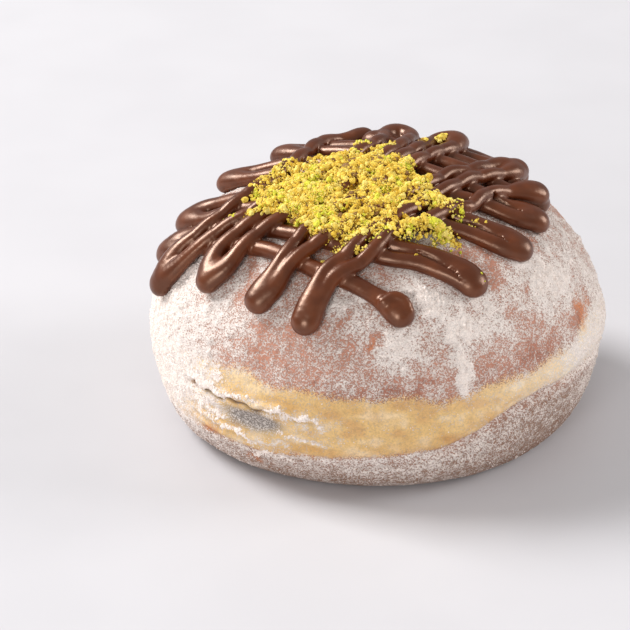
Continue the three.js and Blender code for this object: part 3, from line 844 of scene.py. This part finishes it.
def heap_share(x, y):
    """How far out a place is, from 0 at the heap's centre to 1 at its edge."""
    dx, dy = x - HEAP_CENTRE[0], y - HEAP_CENTRE[1]
    return np.hypot(dx, dy) / heap_reach(np.arctan2(dy, dx))


def core_lift(x, y):
    share = heap_share(x, y)
    place = stacked(x, y, 0)
    rough = 0.8 * value_noise(place, 2.6, 31) + 0.4 * value_noise(place, 1.1, 32)
    slope = mix(HEAP_LIFT, 0.3, smoothstep(share, HEAP_RIM_START, HEAP_CORE_SHARE))
    return slope + rough * (1 - smoothstep(share, 0.8, HEAP_CORE_SHARE))


def heap_core(material):
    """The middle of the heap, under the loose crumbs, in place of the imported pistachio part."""
    turn = 2 * math.pi * np.arange(HEAP_SIDES) / HEAP_SIDES
    shares = np.linspace(HEAP_CORE_SHARE, 0.02, HEAP_RINGS)
    reach = heap_reach(turn)[None] * shares[:, None]
    x = HEAP_CENTRE[0] + reach * np.cos(turn)
    y = HEAP_CENTRE[1] + reach * np.sin(turn)
    top = dome_point(x, y, core_lift(x, y))
    under = dome_point(x[:1], y[:1], HEAP_BASE_LIFT)
    middle = dome_point(x[-1:], y[-1:], HEAP_BASE_LIFT)
    points = np.concatenate([middle, under, top])
    tint = np.broadcast_to(linear(NUT_SHADE), (points.size // 3, 3))
    faces = ring_faces(len(points), HEAP_SIDES)
    points = points.reshape(-1, 3)
    piece = mesh_object("pistachio_core", points, faces, material, looks={"tint": tint})
    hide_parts("pistachio")
    return piece


class Pile:
    """Height of whatever lies highest at each plan position, as crumbs land one by one."""

    def __init__(self, field):
        x = np.arange(PILE_LOW[0], PILE_HIGH[0], PILE_STEP)
        y = np.arange(PILE_LOW[1], PILE_HIGH[1], PILE_STEP)
        grid_x, grid_y = np.meshgrid(x, y, indexing="ij")
        self.height = np.maximum(dome_height(grid_x, grid_y), field.tops(grid_x, grid_y))
        inside = heap_share(grid_x, grid_y) < HEAP_CORE_SHARE
        core = dome_height(grid_x, grid_y) + core_lift(grid_x, grid_y)
        self.height = np.where(inside, np.maximum(self.height, core), self.height)

    def drop(self, x, y, radius, sink):
        """Height of the centre of a bit that lands here, which the pile then remembers."""
        i = int((x - PILE_LOW[0]) / PILE_STEP)
        j = int((y - PILE_LOW[1]) / PILE_STEP)
        cells = max(1, round(radius / PILE_STEP))
        under = self.height[i - cells:i + cells + 1, j - cells:j + cells + 1]
        level = 0.5 * under.mean() + 0.5 * under.max() + sink * radius
        offset = PILE_STEP * np.arange(-cells, cells + 1)
        cap = radius ** 2 - offset[:, None] ** 2 - offset[None] ** 2
        top = np.where(cap > 0, level + PILE_GROWTH * np.sqrt(np.maximum(cap, 0)), -1)
        np.maximum(under, top, out=under)
        return level


def heap_places(count, chance):
    """Plan positions of crumbs in the heap, closer together where they cluster."""
    tries = 3 * count
    share = np.sqrt(chance.uniform(0, 1, tries)) + 0.02 * chance.exponential(1, tries)
    turn = chance.uniform(0, 2 * math.pi, tries)
    ragged = 0.5 * np.sin(11 * turn) + 0.6 * np.sin(17 * turn + 2)
    reach = share * (heap_reach(turn) - 0.4 + ragged)
    places = np.c_[HEAP_CENTRE[0] + reach * np.cos(turn), HEAP_CENTRE[1] + reach * np.sin(turn)]
    clustered = value_noise(np.c_[places, np.zeros(tries)], CLUSTER_SIZE, 33)
    kept = chance.uniform(0, 1, tries) < smoothstep(clustered, -0.6, 0.2) + 0.45
    return places[kept][:count]


def crumb_places(count, chance):
    """Plan positions of crumbs: most in the heap, the rest in the patches beside it."""
    shares = np.array([patch[4] for patch in CRUMB_PATCHES])
    counts = chance.multinomial(count, np.r_[1 - shares.sum(), shares])
    places = [heap_places(counts[0], chance)]
    for (x, y, wide, deep, _), amount in zip(CRUMB_PATCHES, counts[1:]):
        spread = np.clip(chance.normal(size=(amount, 2)), -2, 2) * (0.6 * wide, 0.6 * deep)
        places.append(spread + (x, y))
    return np.vstack(places)


def crumb_colours(places, chance):
    """A colour for each crumb, from brown to green, and much the same as its neighbours'."""
    tones = (NUT_SKIN, NUT_DEEP, NUT_YELLOW, NUT_PALE, NUT_GREEN)
    palette = np.array([linear(colour) for colour in tones])
    spread = value_noise(np.c_[places, np.zeros(len(places))], TINT_PATCH, 34)
    rank = 0.5 + 0.55 * spread + chance.uniform(-0.42, 0.42, len(places))
    colours = palette[np.searchsorted(TINT_CUTS, rank)]
    return colours * chance.uniform(0.82, 1.02, (len(places), 1))


def crumb_pieces(field, material):
    pile = Pile(field)
    for index, (name, (count, small, large, level)) in enumerate(CRUMB_KINDS.items()):
        chance = np.random.default_rng(CRUMB_SEED + index)
        places = crumb_places(count, chance)
        radii = mix(small, large, chance.uniform(0, 1, len(places)) ** 1.6)
        heights = [pile.drop(x, y, radius, CRUMB_SINK) for (x, y), radius in zip(places, radii)]
        centres = np.c_[places, heights]
        points, faces, each = scattered(centres, radii, level, CRUMB_KNOBS, CRUMB_ROUGHNESS, chance)
        tint = np.repeat(crumb_colours(places, chance), each, axis=0)
        mesh_object(name, points, faces, material, smooth=False, looks={"tint": tint})


def on_dough(surface, count, weight, field, chance):
    """Random places on the dough's bare side, likelier where the weight is greater."""
    points, outward, _ = surface
    size = np.linalg.norm(np.roll(points, -1, axis=1) - points, axis=2)
    size = size * np.linalg.norm(np.gradient(points, axis=0), axis=2)
    height = points[..., 2]
    weight = (size * weight * window(height, 2, 60, 1)).ravel()
    picked = chance.choice(weight.size, 2 * count, p=weight / weight.sum())
    row, side = np.unravel_index(picked, size.shape)
    after = (side + 1) % size.shape[1]
    above = np.minimum(row + 1, len(points) - 1)
    across, up = chance.uniform(0, 1, (2, 2 * count, 1))
    place = points[row, side] + across * (points[row, after] - points[row, side])
    place = place + up * (points[above, side] - points[row, side])
    bare = field.at(place) > SUGAR_CLEARANCE
    beside_heap = heap_share(place[:, 0], place[:, 1]) > SUGAR_HEAP_SHARE
    bare &= beside_heap | (place[:, 2] < HEAP_LOWEST)
    return place[bare][:count], outward[row, side][bare][:count]


def sugar_pieces(surface, field, material):
    chance = np.random.default_rng(SUGAR_SEED)
    points, _, looks = surface
    sugar = looks["sugar"]
    azimuth = np.degrees(np.arctan2(points[..., 0], -points[..., 1]))
    clots = patches(azimuth, points[..., 2], CLOT_SPOTS)
    place, out = on_dough(surface, CRYSTAL_COUNT, 0.02 + sugar ** 2, field, chance)
    corners = np.array([(1, 0, 0), (-1, 0, 0), (0, 1, 0), (0, -1, 0), (0, 0, 1), (0, 0, -1)])
    triangles = np.array([
        (0, 2, 4), (2, 1, 4), (1, 3, 4), (3, 0, 4), (2, 0, 5), (1, 2, 5), (3, 1, 5), (0, 3, 5),
    ])
    count = len(place)
    size = chance.uniform(CRYSTAL_SMALL, CRYSTAL_LARGE, (count, 1, 1))
    size = size * chance.uniform(0.8, 1.3, (count, 1, 3))
    turned = np.einsum("nij,nvj->nvi", random_turns(count, chance), corners[None] * size)
    points = (turned + (place + CRYSTAL_LIFT * out)[:, None]).reshape(-1, 3)
    faces = (triangles[None] + 6 * np.arange(count)[:, None, None]).reshape(-1, 3)
    mesh_object("sugar_crystals", points, faces, material, smooth=False)

    weight = 0.3 * smoothstep(sugar, 0.7, 1) + 8 * clots ** 2
    place, out = on_dough(surface, CLUMP_COUNT, weight, field, chance)
    radii = mix(CLUMP_SMALL, CLUMP_LARGE, chance.uniform(0, 1, len(place)) ** 2.5)
    centres = place - CLUMP_SINK * radii[:, None] * out
    points, faces, _ = scattered(centres, radii, 0, CLUMP_KNOBS, CLUMP_ROUGHNESS, chance)
    mesh_object("sugar_clumps", points, faces, material, smooth=False)


# Materials


class Shader:
    """Builds a material's nodes."""

    def __init__(self, name, roughness, **fixed):
        self.material = bpy.data.materials.new(name)
        self.material.use_nodes = True
        self.nodes = self.material.node_tree.nodes
        self.links = self.material.node_tree.links
        self.surface = self.nodes["Principled BSDF"]
        self.surface.inputs["Roughness"].default_value = roughness
        for key, value in fixed.items():
            self.surface.inputs[key.replace("_", " ")].default_value = value
        self.place = self.nodes.new("ShaderNodeTexCoord").outputs["Object"]

    def link(self, source, target):
        self.links.new(source, target)

    def put(self, socket, value):
        """Links a value that is a socket, or sets it."""
        if isinstance(value, bpy.types.NodeSocket):
            self.link(value, socket)
        else:
            socket.default_value = value

    def noise(self, size, detail=3):
        """Noise from 0 to 1 with features about `size` millimetres across."""
        node = self.nodes.new("ShaderNodeTexNoise")
        node.inputs["Scale"].default_value = 1 / (size * MM)
        node.inputs["Detail"].default_value = detail
        self.link(self.place, node.inputs["Vector"])
        return node.outputs["Fac"]

    def grains(self, size):
        """A random value in each cell about `size` millimetres across, and how far its middle is."""
        node = self.nodes.new("ShaderNodeTexVoronoi")
        node.inputs["Scale"].default_value = 1 / (size * MM)
        self.link(self.place, node.inputs["Vector"])
        split = self.nodes.new("ShaderNodeSeparateColor")
        self.link(node.outputs["Color"], split.inputs["Color"])
        return split.outputs["Red"], node.outputs["Distance"]

    def maths(self, operation, *values):
        node = self.nodes.new("ShaderNodeMath")
        node.operation = operation
        for socket, value in zip(node.inputs, values):
            self.put(socket, value)
        return node.outputs["Value"]

    def speckle(self, grain, share, soft):
        """1 in the given share of the grains and 0 in the rest, with a soft cut between them."""
        low = self.maths("SUBTRACT", share, soft)
        high = self.maths("ADD", share, soft)
        return self.maths("SUBTRACT", 1.0, self.ramp(grain, low, high))

    def ramp(self, value, low, high, to_low=0.0, to_high=1.0):
        node = self.nodes.new("ShaderNodeMapRange")
        node.interpolation_type = "SMOOTHSTEP"
        settings = {"Value": value, "From Min": low, "From Max": high, "To Min": to_low, "To Max": to_high}
        for key, setting in settings.items():
            self.put(node.inputs[key], setting)
        return node.outputs["Result"]

    def attribute(self, name, output):
        node = self.nodes.new("ShaderNodeAttribute")
        node.attribute_name = name
        return node.outputs[output]

    def bump(self, height, distance, strength=1.0):
        node = self.nodes.new("ShaderNodeBump")
        node.inputs["Distance"].default_value = distance * MM
        node.inputs["Strength"].default_value = strength
        self.link(height, node.inputs["Height"])
        self.link(node.outputs["Normal"], self.surface.inputs["Normal"])

    def grey(self, value):
        """A grey colour of that value."""
        node = self.nodes.new("ShaderNodeCombineColor")
        for key in ("Red", "Green", "Blue"):
            self.link(value, node.inputs[key])
        return node.outputs["Color"]

    def mixed(self, share, one, other, blend="MIX"):
        node = self.nodes.new("ShaderNodeMixRGB")
        node.blend_type = blend
        self.put(node.inputs["Fac"], share)
        self.put(node.inputs["Color1"], one)
        self.put(node.inputs["Color2"], other)
        return node.outputs["Color"]

    def toned(self, colour, value):
        """A colour times a value."""
        return self.mixed(1.0, colour, self.grey(value), "MULTIPLY")

    def base(self, colour):
        self.link(colour, self.surface.inputs["Base Color"])


def rgba(colour):
    return (*linear(colour), 1)


def dough_material():
    """Fried crust under a speckle of sugar that thickens with the sugar value."""
    shader = Shader("sugared_crust", 0.95, Specular_IOR_Level=0.25)
    cover = shader.attribute("sugar", "Fac")
    value, distance = shader.grains(GRAIN)
    fine, _ = shader.grains(FINE_GRAIN)
    waist_share = shader.attribute("waist_share", "Fac")
    edge = shader.maths("MULTIPLY_ADD", waist_share, 1.6, -0.3)
    in_waist = shader.speckle(fine, edge, 0.3)
    grained = shader.maths("MULTIPLY_ADD", value, 0.6, shader.noise(0.7, 3))
    crust = shader.toned(shader.attribute("crust", "Color"), shader.ramp(grained, 0.35, 1.2, 0.6, 1.25))
    waist = shader.toned(shader.attribute("waist", "Color"), shader.ramp(grained, 0.35, 1.2, 0.84, 1.1))
    # Painted shade: the crust between the grains darkens where the sugar lies thick.
    shade = shader.maths("MULTIPLY", shader.ramp(cover, 0.35, 0.75), 0.75)
    crust = shader.mixed(shade, crust, rgba(CRUST_GAP_SHADOW))
    crust = shader.mixed(in_waist, crust, waist)
    cut = shader.maths("MULTIPLY_ADD", value, 0.6, shader.maths("MULTIPLY", fine, 0.4))
    white = shader.speckle(cut, cover, 0.08)
    sugar = shader.toned(rgba(SUGAR_WHITE), shader.ramp(fine, 0.0, 1.0, 0.78, 1.04))
    sugar = shader.mixed(shader.ramp(cover, 0.15, 0.7, 0.5, 0.0), sugar, crust)
    dusted = shader.mixed(shader.ramp(cover, 0.15, 1.0, 0.08, 0.3), crust, rgba(SUGAR_WHITE))
    shader.base(shader.mixed(white, dusted, sugar))
    grain_height = shader.maths("MULTIPLY", white, shader.maths("SUBTRACT", 1.0, distance))
    height = shader.maths("MULTIPLY_ADD", shader.noise(0.8, 4), 0.7, grain_height)
    shader.bump(height, 0.16, 0.9)
    return shader.material


def chocolate_material():
    shader = Shader("milk_chocolate", 0.3, Specular_IOR_Level=1.0, Specular_Tint=rgba(CHOCOLATE_SHINE))
    streak = shader.ramp(shader.noise(5, 2), 0.35, 0.7)
    colour = shader.mixed(streak, rgba(CHOCOLATE), rgba(CHOCOLATE_LIGHT))
    grain, _ = shader.grains(0.45)
    share = shader.maths("MULTIPLY_ADD", shader.attribute("dusted", "Fac"), 0.5, -0.1)
    dusted = shader.speckle(grain, share, 0.08)
    shader.base(shader.mixed(dusted, colour, rgba(NUT_SHADE)))
    roughness = shader.ramp(shader.noise(2.2, 3), 0.3, 0.7, 0.28, 0.38)
    shader.link(roughness, shader.surface.inputs["Roughness"])
    shader.bump(shader.noise(1.8, 2), 0.12, 0.5)
    return shader.material


def pistachio_material():
    shader = Shader("chopped_pistachio", 0.7)
    tone = shader.ramp(shader.noise(0.5, 3), 0.3, 0.7, 0.8, 1.15)
    shader.base(shader.toned(shader.attribute("tint", "Color"), tone))
    shader.bump(shader.noise(0.35, 4), 0.15, 0.8)
    return shader.material


def sugar_material():
    shader = Shader("sugar", 0.85, Specular_IOR_Level=0.3)
    tone = shader.ramp(shader.noise(0.6, 2), 0.3, 0.7, 0.9, 1.0)
    shader.base(shader.toned(rgba(SUGAR_WHITE), tone))
    shader.bump(shader.noise(0.3, 3), 0.08, 0.6)
    return shader.material


def floor_material():
    shader = Shader("pale_floor", 0.6)
    tone = shader.ramp(shader.noise(40, 2), 0.3, 0.7)
    shader.base(shader.mixed(tone, *map(rgba, FLOOR_TONES)))
    return shader.material


# Camera, floor and light


def add_camera():
    elevation = math.radians(CAMERA_ELEVATION)
    target = Vector((SHIFT[0], SHIFT[1], CAMERA_TARGET_HEIGHT)) * MM
    away = Vector((0, -math.cos(elevation), math.sin(elevation)))
    data = bpy.data.cameras.new("camera")
    data.sensor_width = SENSOR
    data.lens = PIXELS_PER_MM * CAMERA_DISTANCE * SENSOR / PHOTO_SIDE
    data.shift_x = (PHOTO_SIDE / 2 - CENTRE_U) / PHOTO_SIDE
    data.shift_y = (CENTRE_V - PHOTO_SIDE / 2) / PHOTO_SIDE
    data.clip_start = 0.02
    camera = bpy.data.objects.new("camera", data)
    camera.location = target + away * CAMERA_DISTANCE * MM
    camera.rotation_euler = (-away).to_track_quat("-Z", "Y").to_euler()
    bpy.context.collection.objects.link(camera)
    bpy.context.scene.camera = camera


def add_floor():
    bpy.ops.mesh.primitive_plane_add(size=FLOOR_SIDE, location=(0, 0, FLOOR_LEVEL))
    floor = bpy.context.object
    floor.name = "floor"
    floor.data.materials.append(floor_material())


def add_softbox(name, place, size, power):
    """A square soft light at a place in metres, facing the dough."""
    data = bpy.data.lights.new(name, "AREA")
    data.shape = "SQUARE"
    data.size = size
    data.energy = power
    light = bpy.data.objects.new(name, data)
    light.location = place
    light.rotation_euler = (Vector(LIGHT_TARGET) - Vector(place)).to_track_quat("-Z", "Y").to_euler()
    bpy.context.collection.objects.link(light)


def add_light():
    world = bpy.data.worlds.new("studio")
    world.use_nodes = True
    background = world.node_tree.nodes["Background"]
    background.inputs["Color"].default_value = WORLD_COLOUR
    background.inputs["Strength"].default_value = WORLD_STRENGTH
    bpy.context.scene.world = world
    for softbox in SOFTBOXES:
        add_softbox(*softbox)
    bpy.context.scene.view_settings.view_transform = "Standard"


def main():
    add_camera()
    field = drizzle_field()
    surface = dough_surface()
    dough_piece(surface, dough_material())
    points, quads = field.surface()
    dusted = 1 - smoothstep(heap_share(points[:, 0], points[:, 1]), 0.7, 1.05)
    chocolate = chocolate_material()
    mesh_object("chocolate_drizzle", points, quads, chocolate, looks={"dusted": dusted})
    nut = pistachio_material()
    heap_core(nut)
    crumb_pieces(field, nut)
    sugar_pieces(surface, field, sugar_material())
    add_floor()
    add_light()


main()
